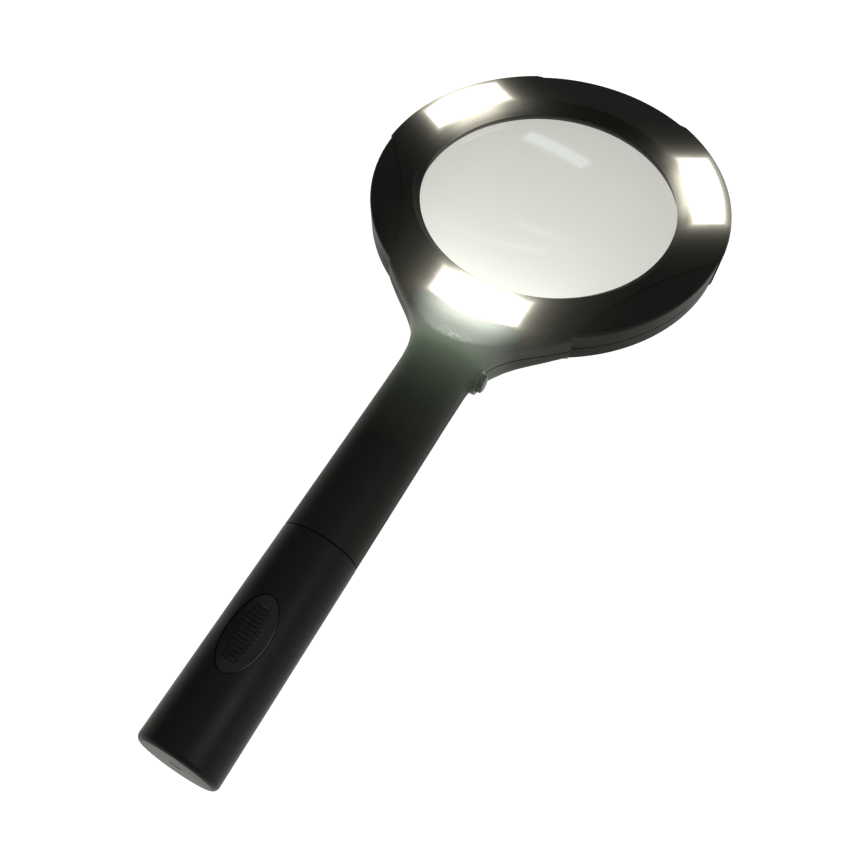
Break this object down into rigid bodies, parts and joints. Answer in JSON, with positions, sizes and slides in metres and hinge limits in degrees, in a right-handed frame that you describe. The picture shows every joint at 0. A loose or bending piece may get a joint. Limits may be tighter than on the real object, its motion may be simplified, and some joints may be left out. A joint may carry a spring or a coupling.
{
  "type": "low vision magnifier",
  "caption": "Round lighted magnifier: a clear lens in a black ring with lamp windows set in its lit face, on a long round battery handle with a side push button and a pull-off end sleeve.",
  "frame": {"origin": "middle of the bounding box's base, under the handle, with the part lying lit face up", "axes": "+Y along the handle towards the lens; +Z out of the lit face; +X to the push button's side"},
  "size_m": [0.1248, 0.274, 0.0235],
  "materials": {
    "shell_black": "fine satin moulded ABS, black",
    "button_black": "smooth satin black plastic",
    "grip_rubber": "matte black soft rubber with raised ribs",
    "lens_clear": "polished clear double-convex lens",
    "lamp_window": "milky diffuser, lit warm white",
    "lamp_board": "white solder mask",
    "lamp_phosphor": "yellow phosphor coating",
    "board_green": "green solder mask",
    "screw_steel": "zinc-plated pan-head screw",
    "spring_steel": "bright nickel-plated spring wire",
    "contact_brass": "stamped contact strip",
    "cell_metal": "plain wrapped battery cell",
    "wire_red": "smooth wire insulation",
    "wire_black": "smooth wire insulation"
  },
  "bodies": {
    "body": {"front_shell": "shell_black", "rear_shell": "shell_black", "lens": "lens_clear", "lens_retainer": "shell_black", "led_window_neck": "lamp_window", "led_board_neck": "lamp_board", "led_emitter_neck": "lamp_phosphor", "led_window_left": "lamp_window", "led_board_left": "lamp_board", "led_emitter_left": "lamp_phosphor", "led_window_right": "lamp_window", "led_board_right": "lamp_board", "led_emitter_right": "lamp_phosphor", "shell_screw_1": "screw_steel", "shell_screw_2": "screw_steel", "shell_screw_3": "screw_steel", "shell_screw_4": "screw_steel", "shell_screw_5": "screw_steel", "driver_board": "board_green", "switch_body": "shell_black", "button_collar": "button_black", "button_spring": "spring_steel", "battery_tube": "shell_black", "battery_front": "cell_metal", "battery_rear": "cell_metal", "positive_contact": "contact_brass", "return_strip": "contact_brass", "wire_left_lamp": "wire_red", "wire_right_lamp": "wire_black", "wire_neck_lamp": "wire_red", "wire_battery_positive": "wire_red", "wire_battery_negative": "wire_black"},
    "button": {"push_button": "button_black"},
    "sleeve": {"battery_sleeve": "shell_black", "thumb_grip": "grip_rubber", "sleeve_contact": "contact_brass", "negative_spring": "spring_steel"}
  },
  "joints": [
    {"name": "button_press", "type": "slide", "parent": "body", "child": "button", "axis": [-1, 0, 0], "range_m": [0, 0.0015], "stiffness_N_per_m": 400, "springref_m": -0.0008, "deforming": ["button_spring"]},
    {"name": "sleeve_slide", "type": "slide", "parent": "body", "child": "sleeve", "axis": [0, -1, 0], "range_m": [0, 0.065]}
  ]
}
